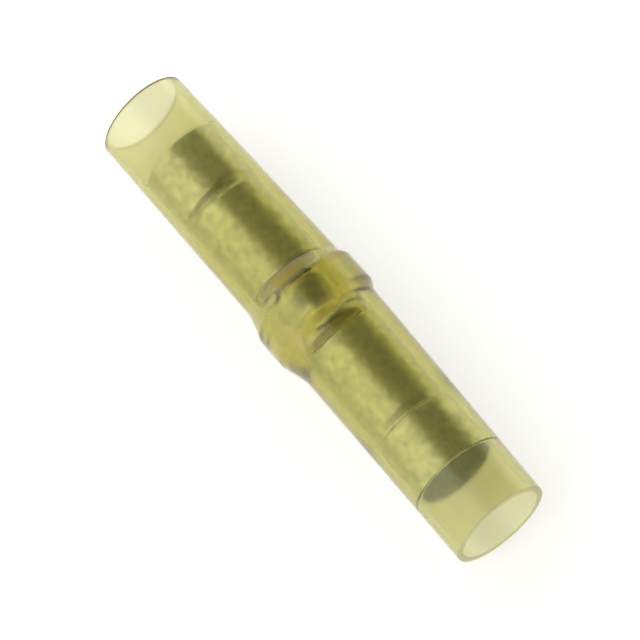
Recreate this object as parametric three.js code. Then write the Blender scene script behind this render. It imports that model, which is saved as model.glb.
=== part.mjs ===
// Insulated butt splice that joins two stranded wires of 4 to 6 mm2 (12 to 10 AWG) end to end.
// A seamless wire barrel with a rolled wire stop carries the current. A thin grip sleeve is pressed over
// each half of it and reaches out past its end, to be crimped on the wire's insulation. A groove rolled in
// the sleeve just past the barrel's end keeps the barrel from sliding out. One moulded insulation tube with
// a hollow central collar covers all three, and its two inner ribs keep the grip sleeves apart.
//
// Units are millimetres. The splice's axis is X and the origin is the middle of the splice, on the axis.
// +Z is up as the splice lies on its side.

import * as THREE from "three";

// ---- driving dimensions --------------------------------------------------------------------------------

const HALF_LENGTH = 20.5; // from the middle to the insulation tube's mouth
const SEGMENTS = 48; // facets round the axis
const PRESS_GAP = 0.03; // radial gap between pressed pieces, so that their solids stay apart

// Insulation tube
const MOUTH_RADIUS = 3.74;
const MOUTH_BORE = 3.24;
const MOUTH_CHAMFER = 0.12;
const FOOT_RADIUS = 3.96; // the tube's outside beside the collar
const COLLAR_RADIUS = 4.45;
const COLLAR_HALF_WIDTH = 1.45;
const COLLAR_FOOT = 2.7; // from the middle to the foot of the collar's slope
const POCKET_BORE = 3.6; // the hollow inside the collar
const POCKET_HALF_WIDTH = 1.1;
const RIB_START = 2.1; // each rib, from the middle
const RIB_END = 2.85;
const RIB_SHOULDER = 0.12; // length of the slope from a rib to a grip sleeve's seat
const RIB_CLEARANCE = 0.1; // radial, between a rib and the wire barrel
const SEAT_CLEARANCE = 0.11; // radial, between the bore and a grip sleeve's narrow part
const SEAT_SLOPE = 0.9; // length of the slope between the two widths of a grip sleeve's seat
const SEAT_LIP = 0.12; // length of the slope from a grip sleeve's seat out to the mouth's bore

// Grip sleeves
const SLEEVE_START = 3.1; // inner end, from the middle
const SLEEVE_END = 15.75; // outer end
const SLEEVE_WALL = 0.23;
const LOCK_START = 10.35; // the groove rolled in just past the wire barrel's end
const LOCK_BOTTOM = 10.9;
const LOCK_DEPTH = 0.25;
const FLARE_END = 11.2; // where a sleeve has reached its full width
const FLARE_RADIUS = 3.16; // outside of the wide part, which takes the wire's insulation
const EDGE_BREAK = 0.06;

// Wire barrel
const BARREL_RADIUS = 2.72;
const BARREL_BORE = 1.75;
const BARREL_HALF_LENGTH = 10.2;
const ENTRY_CHAMFER = 0.35; // in the bore, to lead the wire's strands in
const END_CHAMFER = 0.3; // on the outside, to lead a grip sleeve on
const STOP_HALF_WIDTH = 1.4; // the groove rolled in to make the wire stop
const STOP_FLOOR_HALF_WIDTH = 0.2;
const STOP_DEPTH = 0.58;
const SERRATION_PLACES = [3.2, 5.0, 6.8, 8.6]; // ring grooves in the bore, from the middle
const SERRATION_HALF_WIDTH = 0.22;
const SERRATION_DEPTH = 0.12;

// ---- worked out from them --------------------------------------------------------------------------------

const HUG_RADIUS = BARREL_RADIUS + PRESS_GAP + SLEEVE_WALL; // outside of a grip sleeve's narrow part
const HUG_SEAT_BORE = HUG_RADIUS + SEAT_CLEARANCE;
const FLARE_SEAT_BORE = FLARE_RADIUS + PRESS_GAP;
const RIB_BORE = BARREL_RADIUS + RIB_CLEARANCE;

// ---- finishes --------------------------------------------------------------------------------------------

const clearYellowNylon = () =>
  new THREE.MeshStandardMaterial({
    color: 0xd6cf86,
    roughness: 0.25,
    metalness: 0,
    transparent: true,
    opacity: 0.45,
  });

const tinPlate = () =>
  new THREE.MeshStandardMaterial({ color: 0xb9b7ac, roughness: 0.42, metalness: 1 });

const tinnedCopper = () =>
  new THREE.MeshStandardMaterial({ color: 0xbdb8a8, roughness: 0.35, metalness: 1 });

// ---- shapes ----------------------------------------------------------------------------------------------

// Outlines are lists of [distance along the axis, radius] pairs.

// Turns the outline of a wall's section into a closed ring round the X axis, with a facet at the bottom.
function turned(outline) {
  const profile = outline.map(([along, radius]) => new THREE.Vector2(radius, along));
  profile.push(profile[0].clone());
  const ring = new THREE.LatheGeometry(profile, SEGMENTS, Math.PI / SEGMENTS, 2 * Math.PI);
  return ring.rotateZ(-Math.PI / 2);
}

// Joins the +X half of an outside and a bore, each given from the middle outwards, to their mirror images.
function bothHalves(outside, bore) {
  const mirrorImage = (points) => points.map(([along, radius]) => [-along, radius]);
  return [
    ...mirrorImage(outside).reverse(),
    ...outside,
    ...bore.toReversed(),
    ...mirrorImage(bore),
  ];
}

function piece(name, outline, material) {
  const mesh = new THREE.Mesh(turned(outline), material);
  mesh.name = name;
  return mesh;
}

// ---- pieces ----------------------------------------------------------------------------------------------

function insulationTube() {
  const outside = [
    [COLLAR_HALF_WIDTH, COLLAR_RADIUS],
    [COLLAR_FOOT, FOOT_RADIUS],
    [HALF_LENGTH - MOUTH_CHAMFER, MOUTH_RADIUS],
    [HALF_LENGTH, MOUTH_RADIUS - MOUTH_CHAMFER],
  ];
  const bore = [
    [POCKET_HALF_WIDTH, POCKET_BORE],
    [RIB_START, RIB_BORE],
    [RIB_END, RIB_BORE],
    [RIB_END + RIB_SHOULDER, HUG_SEAT_BORE],
    [FLARE_END - SEAT_SLOPE, HUG_SEAT_BORE],
    [FLARE_END, FLARE_SEAT_BORE],
    [SLEEVE_END, FLARE_SEAT_BORE],
    [SLEEVE_END + SEAT_LIP, MOUTH_BORE],
    [HALF_LENGTH, MOUTH_BORE],
  ];
  return piece("insulation_tube", bothHalves(outside, bore), clearYellowNylon());
}

function wireBarrel() {
  const outside = [
    [STOP_FLOOR_HALF_WIDTH, BARREL_RADIUS - STOP_DEPTH],
    [STOP_HALF_WIDTH, BARREL_RADIUS],
    [BARREL_HALF_LENGTH - END_CHAMFER, BARREL_RADIUS],
    [BARREL_HALF_LENGTH, BARREL_RADIUS - END_CHAMFER],
  ];
  const serrations = SERRATION_PLACES.flatMap((middle) => [
    [middle - SERRATION_HALF_WIDTH, BARREL_BORE],
    [middle, BARREL_BORE + SERRATION_DEPTH],
    [middle + SERRATION_HALF_WIDTH, BARREL_BORE],
  ]);
  const bore = [
    [STOP_FLOOR_HALF_WIDTH, BARREL_BORE - STOP_DEPTH],
    [STOP_HALF_WIDTH, BARREL_BORE],
    ...serrations,
    [BARREL_HALF_LENGTH - ENTRY_CHAMFER, BARREL_BORE],
    [BARREL_HALF_LENGTH, BARREL_BORE + ENTRY_CHAMFER],
  ];
  return piece("wire_barrel", bothHalves(outside, bore), tinnedCopper());
}

// The grip sleeve of the +X half. Turned half round about Z, it is the one of the other half.
function gripSleeve(name) {
  const outside = [
    [SLEEVE_START, HUG_RADIUS - EDGE_BREAK],
    [SLEEVE_START + EDGE_BREAK, HUG_RADIUS],
    [LOCK_START, HUG_RADIUS],
    [LOCK_BOTTOM, HUG_RADIUS - LOCK_DEPTH],
    [FLARE_END, FLARE_RADIUS],
    [SLEEVE_END - EDGE_BREAK, FLARE_RADIUS],
    [SLEEVE_END, FLARE_RADIUS - EDGE_BREAK],
  ];
  const bore = [
    [SLEEVE_START, HUG_RADIUS - SLEEVE_WALL],
    [LOCK_START, HUG_RADIUS - SLEEVE_WALL],
    [LOCK_BOTTOM, HUG_RADIUS - LOCK_DEPTH - SLEEVE_WALL],
    [FLARE_END, FLARE_RADIUS - SLEEVE_WALL],
    [SLEEVE_END, FLARE_RADIUS - SLEEVE_WALL],
  ];
  return piece(name, [...outside, ...bore.reverse()], tinPlate());
}

const leftSleeve = gripSleeve("grip_sleeve_left");
leftSleeve.rotation.z = Math.PI;

const splice = new THREE.Group();
splice.add(insulationTube(), wireBarrel(), gripSleeve("grip_sleeve_right"), leftSleeve);

export default splice;
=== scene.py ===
"""The looks of an insulated butt splice: clear yellow nylon over tin-plated sleeves, on a white table."""

import math

import bmesh
import bpy
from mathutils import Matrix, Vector, noise


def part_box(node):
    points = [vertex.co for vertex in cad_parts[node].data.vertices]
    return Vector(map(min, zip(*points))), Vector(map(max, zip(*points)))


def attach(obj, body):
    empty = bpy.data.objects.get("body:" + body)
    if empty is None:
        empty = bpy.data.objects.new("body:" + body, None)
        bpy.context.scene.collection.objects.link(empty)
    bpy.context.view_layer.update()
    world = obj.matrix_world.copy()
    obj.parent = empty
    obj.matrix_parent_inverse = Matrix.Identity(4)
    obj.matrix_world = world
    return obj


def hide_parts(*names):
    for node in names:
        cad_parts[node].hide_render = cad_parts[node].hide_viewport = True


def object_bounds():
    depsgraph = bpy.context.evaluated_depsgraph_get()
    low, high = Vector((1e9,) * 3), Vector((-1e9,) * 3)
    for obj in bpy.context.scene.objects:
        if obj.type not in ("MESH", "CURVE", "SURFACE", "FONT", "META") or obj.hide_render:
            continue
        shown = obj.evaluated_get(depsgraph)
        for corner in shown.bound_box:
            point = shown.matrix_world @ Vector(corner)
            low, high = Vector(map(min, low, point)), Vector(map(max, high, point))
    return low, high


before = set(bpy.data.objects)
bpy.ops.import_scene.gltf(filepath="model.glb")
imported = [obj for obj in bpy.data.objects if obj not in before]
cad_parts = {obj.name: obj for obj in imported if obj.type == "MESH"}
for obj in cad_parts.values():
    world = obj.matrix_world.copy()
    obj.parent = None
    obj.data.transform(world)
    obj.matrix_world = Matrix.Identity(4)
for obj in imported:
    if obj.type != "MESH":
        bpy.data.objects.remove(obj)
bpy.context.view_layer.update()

MM = 0.001  # every length below is in metres

# ---- places and sizes from the frame -------------------------------------------------------------------

TUBE_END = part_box("insulation_tube")[1].x
COLLAR_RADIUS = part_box("insulation_tube")[1].z
SLEEVE_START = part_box("grip_sleeve_right")[0].x
SLEEVE_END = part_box("grip_sleeve_right")[1].x
FLARE_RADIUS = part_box("grip_sleeve_right")[1].z
BARREL_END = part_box("wire_barrel")[1].x
BARREL_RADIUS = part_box("wire_barrel")[1].z

# ---- sizes of the fine shapes --------------------------------------------------------------------------

SEGMENTS = 128  # round the axis
NYLON_SPACING = 0.08 * MM  # the most between two points of the tube's outline
METAL_SPACING = 0.4 * MM
PRESS_GAP = 0.03 * MM  # radial, between pressed pieces

# The splice is bowed, and its ends aren't cut quite square.
LONG_SIDE = Vector((0, -0.958, -0.286))  # the direction of the collar's long slopes
TOP_SIDE = Vector((0, -0.286, 0.958))
BOW = 0.32 * MM  # how far the middle stands off the line between the mouths
BOW_ROUNDING = 3 * MM
RIGHT_CUT = (0.12 * MM, 0.16 * MM)  # how much is off the right end, and how much more at the top
LEFT_CUT = (0.07 * MM, 0.27 * MM)  # how much is off the left end, and how much more at the long side

# Wire barrel
BARREL_BORE = 1.75 * MM
BARREL_EDGE_EASE = 0.1 * MM
ENTRY_CHAMFER = 0.35 * MM
ENTRY_EASE = 0.05 * MM
STOP_MIDDLE = 0.15 * MM
STOP_HALF_WIDTH = 1.4 * MM
STOP_DEPTH = 0.58 * MM
STOP_EASES = (0.25 * MM, 0.3 * MM)  # at the groove's edges, and at its bottom
SERRATION_PLACES = [3.2, 5.0, 6.8, 8.6]  # ring grooves in the bore, in millimetres from the middle
SERRATION_HALF_WIDTH = 0.22 * MM
SERRATION_DEPTH = 0.12 * MM
SERRATION_EASES = (0.05 * MM, 0.08 * MM)

# Grip sleeves
SLEEVE_WALL = 0.23 * MM
HUG_RADIUS = BARREL_RADIUS + PRESS_GAP + SLEEVE_WALL  # outside of the narrow part
LOCK_GROOVE = (10.35 * MM, 10.9 * MM)  # the start and bottom of the groove rolled past the barrel's end
LOCK_DEPTH = 0.25 * MM
FLARE_END = 11.2 * MM
SLEEVE_EDGE_EASE = 0.07 * MM
LOCK_EASE = 0.1 * MM
FLARE_EASE = 0.12 * MM

# Outside of the insulation tube. Its collar has a steep side and, opposite it, a side with long slopes.
# A pair here is a size halfway between them and what the long side adds and the steep side takes away.
COLLAR_HEIGHT = (0.48 * MM, 0.12 * MM)
COLLAR_MIDDLE = (-0.25 * MM, 0.35 * MM)
COLLAR_SLOPE = (1.5 * MM, 0.75 * MM)
COLLAR_HALF_WIDTH = 1.2 * MM
COLLAR_CURVE = 1.3  # the power that makes the slopes a little hollow
FOOT_RADIUS = COLLAR_RADIUS - COLLAR_HEIGHT[0]  # beside the collar
MOUTH_RADIUS = FOOT_RADIUS - 0.24 * MM
MOUTH_EASE = 0.07 * MM
OUTSIDE_REACH = 0.1 * MM  # how far inside the mouth's radius a point still belongs to the outside

# Bore of the insulation tube
MOUTH_BORE = 3.24 * MM
HUG_SEAT_BORE = 3.09 * MM
FLARE_SEAT_BORE = FLARE_RADIUS + PRESS_GAP
SEAT_SLOPE = 1.6 * MM
SEAT_EASE = 0.7 * MM
SEAT_LIP = 0.12 * MM
LIP_EASE = 0.04 * MM
POCKET_BORE = 3.6 * MM  # the hollow inside the collar
POCKET_LEANS = (0.46 * MM, 0.1 * MM)  # how much shallower it is at the steep side, deeper at the long one
POCKET_ENDS = (-1.75 * MM, 2.3 * MM)
POCKET_CUT = 0.8 * MM  # how much sooner its right end comes at the long side
POCKET_SLOPES = (0.5 * MM, 3.4 * MM)  # length of its ends at the top, and at the two sides
POCKET_FADE = (0.25, 0.7)  # the sideways shares of a direction between which its ends turn gentle
RIBS = ((-2.85 * MM, -2.05 * MM), (2.5 * MM, 2.95 * MM))  # where each rib begins and ends
RIB_BORE = BARREL_RADIUS + 0.1 * MM
RIB_EDGE = 0.12 * MM
RIB_FADE = (0.5, 0.8)  # the sideways shares between which the ribs fade out

# Faint waves in the nylon's surface
WAVE_HEIGHT = 0.0015 * MM
WAVE_LENGTH = 4.5 * MM
WAVE_RADIUS = 4 * MM
WAVE_STRETCH = 0.25  # how fast they change along the tube, against round it

# Where the nylon's looks change
BORE_DEPTH = 0.3 * MM  # how far below the outside the look of the bore is full
# The golden glow is painted light: a gold colour standing in for light that the nylon gathers at its ribs and
# slopes.
PAINTED_GLOW_REACH = 0.3 * MM  # how far the painted golden glow reaches past a rib
SLOPE_PAINTED_GLOW = 0.4  # how strong the painted glow is halfway up the collar's slopes, against a rib's
SLOPE_PAINTED_GLOW_FADE = (0.2, 0.7)  # the shares toward the long side between which it fades out there

# ---- helpers -------------------------------------------------------------------------------------------


def mix(low, high, share):
    return low + (high - low) * share


def limited(share):
    return min(1, max(0, share))


def eased_step(value, start, end):
    """0 up to the start and 1 from the end on, eased between."""
    share = limited((value - start) / (end - start))
    return share * share * (3 - 2 * share)


def by_side(pair, side):
    """A size made of its middle value and what a side adds to it, at a side from -1 to 1."""
    middle, added = pair
    return middle + added * side


def eased(outline, steps=5):
    """The closed outline of (along, radius, reach) points, each corner rounded from its reach away."""
    points = []
    for i, (along, radius, reach) in enumerate(outline):
        corner = Vector((along, radius))
        before = Vector(outline[i - 1][:2])
        after = Vector(outline[(i + 1) % len(outline)][:2])
        if reach == 0:
            points.append(corner)
            continue
        start = corner + (before - corner).normalized() * reach
        end = corner + (after - corner).normalized() * reach
        for step in range(steps + 1):
            share = step / steps
            points.append(start.lerp(corner, share).lerp(corner.lerp(end, share), share))
    return points


def filled(points, spacing):
    """The closed outline with more points, so that none is further than the spacing from the next."""
    result = []
    for i, point in enumerate(points):
        following = points[(i + 1) % len(points)]
        count = max(1, math.ceil((following - point).length / spacing))
        result += [point.lerp(following, k / count) for k in range(count)]
    return result


def mirror_image(half):
    """An outline of the +X half, given from the middle outwards, as that of the -X half."""
    return [(-along, radius, reach) for along, radius, reach in reversed(half)]


def bow_at(along):
    """How far the axis stands off the line between the mouths, a rounded V with its point in the middle."""
    reach = math.hypot(TUBE_END, BOW_ROUNDING)
    return BOW * (1 - math.hypot(along, BOW_ROUNDING) / reach)


def lean_at(along, outward):
    """How far a point at the tube's radius moves along the axis, because the ends aren't cut quite square."""
    share = min(1, abs(along) / SLEEVE_END) ** 2
    if along > 0:
        return -share * by_side(RIGHT_CUT, outward.dot(TOP_SIDE))
    return share * by_side(LEFT_CUT, outward.dot(LONG_SIDE))


def outward_at(k):
    """The direction away from the axis of the k-th of the points round it."""
    angle = 2 * math.pi * k / SEGMENTS
    return Vector((0, math.sin(angle), math.cos(angle)))


def turned(name, outline, reshape=None):
    """A closed ring round the X axis with the outline as its section, bowed and cut as the splice is.

    The reshape function, if given, takes a point's place along the axis, its radius and its direction,
    and returns its new radius.
    """
    mesh = bpy.data.meshes.new(name)
    built = bmesh.new()
    rings = []
    for point in outline:
        ring = []
        for k in range(SEGMENTS):
            outward = outward_at(k)
            along, radius = point
            if reshape:
                radius = reshape(along, radius, outward)
            place = Vector((along, 0, 0)) + outward * radius - LONG_SIDE * bow_at(along)
            place.x += lean_at(along, outward) * radius / FOOT_RADIUS
            ring.append(built.verts.new(place))
        rings.append(ring)
    for i, ring in enumerate(rings):
        following = rings[(i + 1) % len(rings)]
        for k in range(SEGMENTS):
            beside = (k + 1) % SEGMENTS
            built.faces.new((ring[k], following[k], following[beside], ring[beside]))
    bmesh.ops.recalc_face_normals(built, faces=built.faces)
    built.to_mesh(mesh)
    built.free()
    mesh.shade_smooth()
    piece = bpy.data.objects.new(name, mesh)
    bpy.context.scene.collection.objects.link(piece)
    return piece


# ---- insulation tube -----------------------------------------------------------------------------------

# In these functions side is -1 on the collar's steep side and 1 on the side of its long slopes.


def collar_rise(along, side):
    """0 beside the collar and 1 on top, straight between."""
    off_middle = abs(along - by_side(COLLAR_MIDDLE, side))
    return limited(1 - (off_middle - COLLAR_HALF_WIDTH) / by_side(COLLAR_SLOPE, side))


def collar_height(along, side):
    """The collar's height over the tube."""
    return by_side(COLLAR_HEIGHT, side) * collar_rise(along, side) ** COLLAR_CURVE


def foot_radius_at(along):
    """The radius of the tube's outside without its collar."""
    return mix(FOOT_RADIUS, MOUTH_RADIUS, abs(along) / TUBE_END)


def rib_share(along, side, edge):
    """1 on the ribs at the top and bottom, easing to 0 past their ends by the edge and at the two sides."""
    share = 0
    for start, end in RIBS:
        rise = eased_step(along, start - edge, start + edge)
        share = max(share, rise * (1 - eased_step(along, end - edge, end + edge)))
    return share * (1 - eased_step(abs(side), *RIB_FADE))


def bore_relief(along, side):
    """How far the bore's middle stands off a grip sleeve's seat: out in the hollow collar, in at the ribs."""
    slope = mix(*POCKET_SLOPES, eased_step(abs(side), *POCKET_FADE))
    left, right = POCKET_ENDS
    right -= max(0, side) * POCKET_CUT
    hollow = eased_step(along, left - slope / 2, left + slope / 2)
    hollow *= 1 - eased_step(along, right - slope / 2, right + slope / 2)
    lean = POCKET_LEANS[0] if side < 0 else POCKET_LEANS[1]
    depth = POCKET_BORE + lean * side - HUG_SEAT_BORE
    rib = rib_share(along, side, RIB_EDGE)
    return hollow * depth - rib * (1 - hollow) * (HUG_SEAT_BORE - RIB_BORE)


def nylon_shape(along, radius, outward):
    """The radius of a point of the tube, given its outline's, with the waves, the collar and the hollow."""
    place = Vector((along * WAVE_STRETCH, 0, 0)) + outward * WAVE_RADIUS
    radius += WAVE_HEIGHT * noise.noise(place / WAVE_LENGTH)
    side = outward.dot(LONG_SIDE)
    if radius > MOUTH_RADIUS - OUTSIDE_REACH:
        return radius + collar_height(along, side)
    return radius + bore_relief(along, side)


def mark_looks(piece, outline):
    """Stores, as 0 to 1, how far each point has the look of the bore, of a mouth's rim and of a painted
    golden glow.

    The glow is painted light, a gold colour standing in for light that the nylon gathers at its folds: full
    on the ribs and fainter halfway up the collar's slopes.
    """
    bore = piece.data.attributes.new("bore", "FLOAT", "POINT").data
    rim = piece.data.attributes.new("rim", "FLOAT", "POINT").data
    painted_glow = piece.data.attributes.new("painted_glow", "FLOAT", "POINT").data
    for i, (along, radius) in enumerate(outline):
        in_bore = limited((foot_radius_at(along) - radius) / BORE_DEPTH)
        in_rim = eased_step(abs(along), TUBE_END - MOUTH_EASE, TUBE_END)
        for k in range(SEGMENTS):
            side = outward_at(k).dot(LONG_SIDE)
            rise = collar_rise(along, side)
            near_halfway = 4 * rise * (1 - rise)
            # the painted golden glow, fainter halfway up the slopes and full on the ribs
            on_slope = SLOPE_PAINTED_GLOW * (1 - in_bore) * near_halfway
            on_slope *= 1 - eased_step(side, *SLOPE_PAINTED_GLOW_FADE)
            on_rib = in_bore * rib_share(along, side, PAINTED_GLOW_REACH)
            point = i * SEGMENTS + k
            bore[point].value = in_bore
            rim[point].value = in_rim
            painted_glow[point].value = max(on_slope, on_rib)


def make_tube():
    outside = [(0, FOOT_RADIUS, 0), (TUBE_END, MOUTH_RADIUS, MOUTH_EASE)]
    bore = [
        (FLARE_END - SEAT_SLOPE, HUG_SEAT_BORE, SEAT_EASE),
        (FLARE_END, FLARE_SEAT_BORE, SEAT_EASE),
        (SLEEVE_END, FLARE_SEAT_BORE, LIP_EASE),
        (SLEEVE_END + SEAT_LIP, MOUTH_BORE, LIP_EASE),
        (TUBE_END, MOUTH_BORE, MOUTH_EASE),
    ]
    bore = mirror_image(bore) + bore
    outline = mirror_image(outside[1:]) + outside + list(reversed(bore))
    points = filled(eased(outline), NYLON_SPACING)
    piece = turned("insulation_tube_nylon", points, nylon_shape)
    mark_looks(piece, points)
    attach(piece, "root")
    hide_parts("insulation_tube")
    return piece


# ---- grip sleeves --------------------------------------------------------------------------------------


def make_sleeve(side_name, direction):
    outside = [
        (SLEEVE_START, HUG_RADIUS, SLEEVE_EDGE_EASE),
        (LOCK_GROOVE[0], HUG_RADIUS, LOCK_EASE),
        (LOCK_GROOVE[1], HUG_RADIUS - LOCK_DEPTH, LOCK_EASE),
        (FLARE_END, FLARE_RADIUS, FLARE_EASE),
        (SLEEVE_END, FLARE_RADIUS, SLEEVE_EDGE_EASE),
    ]
    bore = [(along, radius - SLEEVE_WALL, SLEEVE_EDGE_EASE) for along, radius, reach in reversed(outside)]
    outline = [(direction * along, radius, reach) for along, radius, reach in outside + bore]
    points = filled(eased(outline), METAL_SPACING)
    piece = turned("grip_sleeve_" + side_name + "_plated", points)
    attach(piece, "root")
    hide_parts("grip_sleeve_" + side_name)
    return piece


# ---- wire barrel ---------------------------------------------------------------------------------------


def groove(middle, half_width, radius, bottom, eases):
    """The outline of a V groove in a surface of that radius, with its edges and its bottom eased."""
    edge_ease, bottom_ease = eases
    return [
        (middle - half_width, radius, edge_ease),
        (middle, bottom, bottom_ease),
        (middle + half_width, radius, edge_ease),
    ]


def wire_stop(radius):
    """The wire stop's outline, on the outside or in the bore."""
    return groove(STOP_MIDDLE, STOP_HALF_WIDTH, radius, radius - STOP_DEPTH, STOP_EASES)


def serration(place):
    return groove(place, SERRATION_HALF_WIDTH, BARREL_BORE, BARREL_BORE + SERRATION_DEPTH, SERRATION_EASES)


def make_barrel():
    outside = [
        (-BARREL_END, BARREL_RADIUS, BARREL_EDGE_EASE),
        *wire_stop(BARREL_RADIUS),
        (BARREL_END, BARREL_RADIUS, BARREL_EDGE_EASE),
    ]
    half_bore = []
    for place in SERRATION_PLACES:
        half_bore += serration(place * MM)
    half_bore += [
        (BARREL_END - ENTRY_CHAMFER, BARREL_BORE, ENTRY_EASE),
        (BARREL_END, BARREL_BORE + ENTRY_CHAMFER, ENTRY_EASE),
    ]
    bore = mirror_image(half_bore) + wire_stop(BARREL_BORE) + half_bore
    points = filled(eased(outside + list(reversed(bore))), METAL_SPACING)
    piece = turned("wire_barrel_plated", points)
    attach(piece, "root")
    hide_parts("wire_barrel")
    return piece


# ---- nodes ---------------------------------------------------------------------------------------------


def new_material(name):
    material = bpy.data.materials.new(name)
    material.use_nodes = True
    return material, material.node_tree.nodes, material.node_tree.links


def add_noise(nodes, links, scale, detail, stretch=(1, 1, 1)):
    """The Fac output of a noise texture in the piece's own coordinates, with scale in waves per metre."""
    where = nodes.new("ShaderNodeTexCoord")
    placing = nodes.new("ShaderNodeMapping")
    placing.inputs["Scale"].default_value = stretch
    texture = nodes.new("ShaderNodeTexNoise")
    texture.inputs["Scale"].default_value = scale
    texture.inputs["Detail"].default_value = detail
    links.new(where.outputs["Object"], placing.inputs["Vector"])
    links.new(placing.outputs["Vector"], texture.inputs["Vector"])
    return texture.outputs["Fac"]


def add_attribute(nodes, name):
    attribute = nodes.new("ShaderNodeAttribute")
    attribute.attribute_name = name
    return attribute.outputs["Fac"]


def add_range(nodes, links, source, low, high, start=0.0, end=1.0):
    """The source, running from start to end, brought to run from low to high."""
    span = nodes.new("ShaderNodeMapRange")
    span.inputs["From Min"].default_value = start
    span.inputs["From Max"].default_value = end
    span.inputs["To Min"].default_value = low
    span.inputs["To Max"].default_value = high
    links.new(source, span.inputs["Value"])
    return span.outputs["Result"]


def add_smooth_range(nodes, links, source, start, end):
    """0 where the source is at the start or before it and 1 from the end on, eased between."""
    span = nodes.new("ShaderNodeMapRange")
    span.interpolation_type = "SMOOTHSTEP"
    span.inputs["From Min"].default_value = start
    span.inputs["From Max"].default_value = end
    links.new(source, span.inputs["Value"])
    return span.outputs["Result"]


def add_math(nodes, links, operation, first, second):
    result = nodes.new("ShaderNodeMath")
    result.operation = operation
    links.new(first, result.inputs[0])
    links.new(second, result.inputs[1])
    return result.outputs["Value"]


def add_vector_math(nodes, links, operation, source, value=(0, 0, 0)):
    result = nodes.new("ShaderNodeVectorMath")
    result.operation = operation
    links.new(source, result.inputs[0])
    result.inputs[1].default_value = value
    return result.outputs["Value" if operation == "DOT_PRODUCT" else "Vector"]


def add_tint(nodes, links, source, first, second):
    """A colour that runs from the first to the second as the source runs from 0 to 1."""
    tint = nodes.new("ShaderNodeMix")
    tint.data_type = "RGBA"
    tint.inputs["A"].default_value = (*first, 1)
    tint.inputs["B"].default_value = (*second, 1)
    links.new(source, tint.inputs["Factor"])
    return tint.outputs["Result"]


def add_tint_over(nodes, links, source, color, second):
    """The linked colour, which gives way to the second colour as the source runs from 0 to 1."""
    result = add_tint(nodes, links, source, second, second)
    links.new(color, result.node.inputs["A"])
    return result


def add_bump(nodes, links, source, strength, distance):
    bump = nodes.new("ShaderNodeBump")
    bump.inputs["Strength"].default_value = strength
    bump.inputs["Distance"].default_value = distance
    links.new(source, bump.inputs["Height"])
    return bump.outputs["Normal"]


# ---- nylon ---------------------------------------------------------------------------------------------

NYLON_IOR = 1.53
NYLON_GLOSS_TINT = (1, 0.97, 0.75)
NYLON_COLORS = ((0.95, 0.94, 0.86), (0.98, 0.97, 0.92))  # the two that its clouds run between
RIM_COLOR = (0.8, 0.75, 0.34)
# A painted golden glow, standing in for light that the nylon gathers at its ribs and slopes.
PAINTED_GLOW_COLOR = (0.92, 0.8, 0.24)
PAINTED_GLOW_FULL = 0.35  # the strength of the painted glow from which it has all of its colour
NYLON_ROUGHNESS = (0.04, 0.15)  # outside, and in the bore
RIM_ROUGHNESS = 0.25  # what a rim adds to that
CLOUD_ROUGHNESS = 0.05  # and the most that a cloud adds
NYLON_CLEARNESS = (0.98, 0.86)  # outside, and in the bore
RIM_CLEARNESS = 0.45  # the share of it that a rim leaves
PAINTED_GLOW_CLEARNESS = 0.5  # and that the full painted glow leaves
CLOUD_SCALE = 350  # waves per metre, like the other scales
NYLON_GRAIN_SCALE = 2600
NYLON_STRETCH = (0.5, 1, 1)
NYLON_BUMP = (0.04, 0.02 * MM)  # strength and distance
NYLON_ABSORPTION = (0.75, 0.715, 0.0)
NYLON_DENSITY = 1050  # per metre


def nylon_material():
    """Clear yellow nylon, glossy outside and matt in the bore, with a painted golden glow on its ribs and
    slopes.
    """
    material, nodes, links = new_material("clear_yellow_nylon")
    shader = nodes["Principled BSDF"]
    shader.inputs["IOR"].default_value = NYLON_IOR
    shader.inputs["Specular Tint"].default_value = (*NYLON_GLOSS_TINT, 1)
    bore = add_attribute(nodes, "bore")
    rim = add_attribute(nodes, "rim")
    painted_glow = add_attribute(nodes, "painted_glow")
    cloud = add_noise(nodes, links, CLOUD_SCALE, 3, NYLON_STRETCH)
    grain = add_noise(nodes, links, NYLON_GRAIN_SCALE, 2, NYLON_STRETCH)

    color = add_tint(nodes, links, cloud, *NYLON_COLORS)
    color = add_tint_over(nodes, links, rim, color, RIM_COLOR)
    # the painted golden glow over the ribs and slopes
    on_painted_glow = add_smooth_range(nodes, links, painted_glow, 0, PAINTED_GLOW_FULL)
    color = add_tint_over(nodes, links, on_painted_glow, color, PAINTED_GLOW_COLOR)
    links.new(color, shader.inputs["Base Color"])

    roughness = add_range(nodes, links, bore, *NYLON_ROUGHNESS)
    for_rim = add_range(nodes, links, rim, 0, RIM_ROUGHNESS)
    for_cloud = add_range(nodes, links, cloud, 0, CLOUD_ROUGHNESS)
    roughness = add_math(nodes, links, "ADD", roughness, for_rim)
    roughness = add_math(nodes, links, "ADD", roughness, for_cloud)
    links.new(roughness, shader.inputs["Roughness"])

    clear = add_range(nodes, links, bore, *NYLON_CLEARNESS)
    at_rim = add_range(nodes, links, rim, 1, RIM_CLEARNESS)
    at_painted_glow = add_range(nodes, links, painted_glow, 1, PAINTED_GLOW_CLEARNESS)
    clear = add_math(nodes, links, "MULTIPLY", clear, at_rim)
    clear = add_math(nodes, links, "MULTIPLY", clear, at_painted_glow)
    links.new(clear, shader.inputs["Transmission Weight"])

    normal = add_bump(nodes, links, grain, *NYLON_BUMP)
    links.new(normal, shader.inputs["Normal"])

    absorption = nodes.new("ShaderNodeVolumeAbsorption")
    absorption.inputs["Color"].default_value = (*NYLON_ABSORPTION, 1)
    absorption.inputs["Density"].default_value = NYLON_DENSITY
    links.new(absorption.outputs["Volume"], nodes["Material Output"].inputs["Volume"])
    return material


# ---- tin plate -----------------------------------------------------------------------------------------

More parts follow.
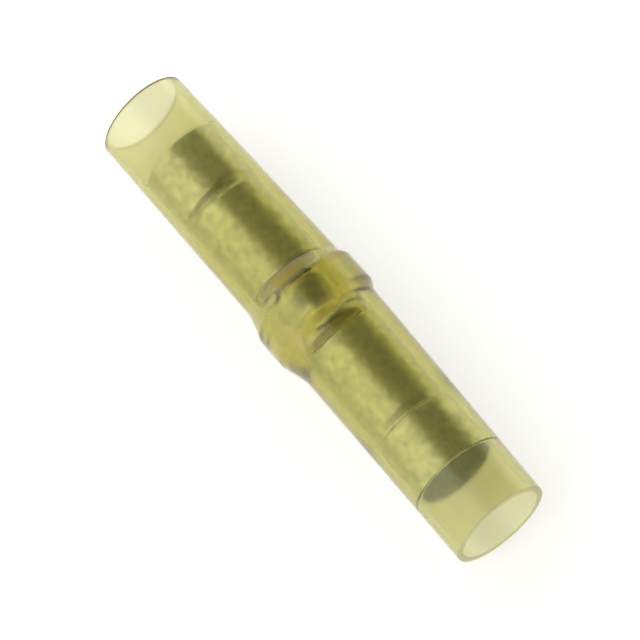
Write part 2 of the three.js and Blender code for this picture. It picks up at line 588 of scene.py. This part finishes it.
SLEEVE_COLOR = (0.9, 0.94, 0.82)
BARREL_COLOR = (0.9, 0.92, 0.78)
DULL_SHARE = 0.72  # the share of the colour that is left in the dull spots
MOTTLE_SCALE = 1700
MOTTLE_SPAN = (0.3, 0.7)  # the part of the mottle's noise that runs from dull to bright
MOTTLE_ROUGHNESS = (0.5, 0.3)  # dull, and bright
TIN_GRAIN_SCALE = 6000
TIN_GRAIN_STRETCH = (0.25, 1, 1)
TIN_GRAIN_ROUGHNESS = 0.05  # what the grain adds or takes away at most
TIN_GRAIN_RELIEF = 0.25  # the grain's height, against the mottle's
TIN_BUMP = (0.45, 0.04 * MM)  # strength and distance


def tin_material(name, color):
    """Dull tin plate with a soft mottle and a fine grain along the piece."""
    material, nodes, links = new_material(name)
    shader = nodes["Principled BSDF"]
    shader.inputs["Metallic"].default_value = 1
    mottle = add_noise(nodes, links, MOTTLE_SCALE, 5)
    grain = add_noise(nodes, links, TIN_GRAIN_SCALE, 3, TIN_GRAIN_STRETCH)

    dull = tuple(DULL_SHARE * part for part in color)
    brightness = add_range(nodes, links, mottle, 0, 1, *MOTTLE_SPAN)
    mottled = add_tint(nodes, links, brightness, dull, color)
    links.new(mottled, shader.inputs["Base Color"])

    by_mottle = add_range(nodes, links, mottle, *MOTTLE_ROUGHNESS, *MOTTLE_SPAN)
    by_grain = add_range(nodes, links, grain, -TIN_GRAIN_ROUGHNESS, TIN_GRAIN_ROUGHNESS)
    roughness = add_math(nodes, links, "ADD", by_mottle, by_grain)
    links.new(roughness, shader.inputs["Roughness"])

    grain_relief = add_range(nodes, links, grain, 0, TIN_GRAIN_RELIEF)
    relief = add_math(nodes, links, "ADD", mottle, grain_relief)
    normal = add_bump(nodes, links, relief, *TIN_BUMP)
    links.new(normal, shader.inputs["Normal"])
    return material


# ---- pieces --------------------------------------------------------------------------------------------

tube = make_tube()
tube.data.materials.append(nylon_material())
plate = tin_material("tin_plate", SLEEVE_COLOR)
for sleeve_side, sleeve_direction in (("right", 1), ("left", -1)):
    sleeve = make_sleeve(sleeve_side, sleeve_direction)
    sleeve.data.materials.append(plate)
barrel = make_barrel()
barrel.data.materials.append(tin_material("tinned_copper", BARREL_COLOR))

# ---- table ---------------------------------------------------------------------------------------------

TABLE_SIZE = 3.0
TABLE_GAP = 0.02 * MM  # under the splice
TABLE_COLOR = (0.8, 0.8, 0.8)
TABLE_ROUGHNESS = 0.6
TABLE_GLOW = 0.58


def table_material():
    """A white table with a glow of its own, so that the splice's shadow stays faint."""
    material = new_material("white_table")[0]
    shader = material.node_tree.nodes["Principled BSDF"]
    shader.inputs["Base Color"].default_value = (*TABLE_COLOR, 1)
    shader.inputs["Roughness"].default_value = TABLE_ROUGHNESS
    shader.inputs["Emission Color"].default_value = (1, 1, 1, 1)
    shader.inputs["Emission Strength"].default_value = TABLE_GLOW
    return material


def make_table():
    mesh = bpy.data.meshes.new("table")
    half = TABLE_SIZE / 2
    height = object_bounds()[0][2] - TABLE_GAP
    corners = [(-half, -half, height), (half, -half, height), (half, half, height), (-half, half, height)]
    mesh.from_pydata(corners, [], [(0, 1, 2, 3)])
    table = bpy.data.objects.new("table", mesh)
    bpy.context.scene.collection.objects.link(table)
    table.data.materials.append(table_material())


# ---- light ---------------------------------------------------------------------------------------------

BRIGHT = (1.65, 1.65, 1.65)
DIM = (0.12, 0.12, 0.045)
STRIP_LEAN = math.radians(21.5)  # from straight overhead toward +Y
STRIP_EDGE = (math.radians(60), math.radians(19))  # the angles off its middle where it starts and is full

# Shares of a direction along X or Z, from -1 to 1, where something starts and where it is full.
STRIP_START = (-0.68, -0.4)
LEFT_END = (-0.74, -0.88)
RIGHT_END = (0.0, 0.35)
ENDS_HEIGHT = (0.2, 0.4)
ENDS_DIMNESS = 0.85  # against the strip's


def make_world():
    """A white studio with a dim warm strip overhead, along the splice, and dim ends above the table."""
    world = bpy.data.worlds.new("studio")
    world.use_nodes = True
    bpy.context.scene.world = world
    nodes, links = world.node_tree.nodes, world.node_tree.links
    where = nodes.new("ShaderNodeTexCoord").outputs["Generated"]
    parts = nodes.new("ShaderNodeSeparateXYZ")
    links.new(where, parts.inputs["Vector"])
    along, up = parts.outputs["X"], parts.outputs["Z"]

    across = add_vector_math(nodes, links, "MULTIPLY", where, (0, 1, 1))
    across = add_vector_math(nodes, links, "NORMALIZE", across)
    strip_middle = (0, math.sin(STRIP_LEAN), math.cos(STRIP_LEAN))
    toward = add_vector_math(nodes, links, "DOT_PRODUCT", across, strip_middle)
    overhead = add_smooth_range(nodes, links, toward, *(math.cos(angle) for angle in STRIP_EDGE))
    right_of_start = add_smooth_range(nodes, links, along, *STRIP_START)
    strip = add_math(nodes, links, "MULTIPLY", overhead, right_of_start)

    left_end = add_smooth_range(nodes, links, along, *LEFT_END)
    right_end = add_smooth_range(nodes, links, along, *RIGHT_END)
    above = add_smooth_range(nodes, links, up, *ENDS_HEIGHT)
    ends = add_math(nodes, links, "MAXIMUM", right_end, left_end)
    ends = add_math(nodes, links, "MULTIPLY", ends, above)
    ends = add_range(nodes, links, ends, 0, ENDS_DIMNESS)

    dim = add_math(nodes, links, "MAXIMUM", strip, ends)
    light = add_tint(nodes, links, dim, BRIGHT, DIM)
    links.new(light, nodes["Background"].inputs["Color"])


# ---- camera --------------------------------------------------------------------------------------------

CAMERA_AZIMUTH = math.radians(51.84)
CAMERA_ELEVATION = math.radians(64.22)
CAMERA_DISTANCE = 227.2 * MM
CAMERA_OFFSET = (0.216 * MM, -0.405 * MM)  # to its right and up, from facing the middle of the splice
SENSOR_WIDTH = 36  # this and the lens are in millimetres, as Blender has them
LENS = 180.7


def make_camera():
    right = Vector((math.cos(CAMERA_AZIMUTH), math.sin(CAMERA_AZIMUTH), 0))
    back = Vector((
        math.sin(CAMERA_AZIMUTH) * math.cos(CAMERA_ELEVATION),
        -math.cos(CAMERA_AZIMUTH) * math.cos(CAMERA_ELEVATION),
        math.sin(CAMERA_ELEVATION),
    ))
    up = back.cross(right)
    to_right, upward = CAMERA_OFFSET
    data = bpy.data.cameras.new("camera")
    data.sensor_width = SENSOR_WIDTH
    data.lens = LENS
    camera = bpy.data.objects.new("camera", data)
    camera.location = back * CAMERA_DISTANCE + right * to_right + up * upward
    camera.rotation_euler = back.to_track_quat("Z", "Y").to_euler()
    bpy.context.scene.collection.objects.link(camera)
    bpy.context.scene.camera = camera


# ---- scene ---------------------------------------------------------------------------------------------

make_table()
make_world()
make_camera()
bpy.context.scene.view_settings.view_transform = "Standard"
bpy.context.scene.cycles.transmission_bounces = 24
bpy.context.scene.cycles.glossy_bounces = 12
bpy.context.scene.cycles.max_bounces = 32
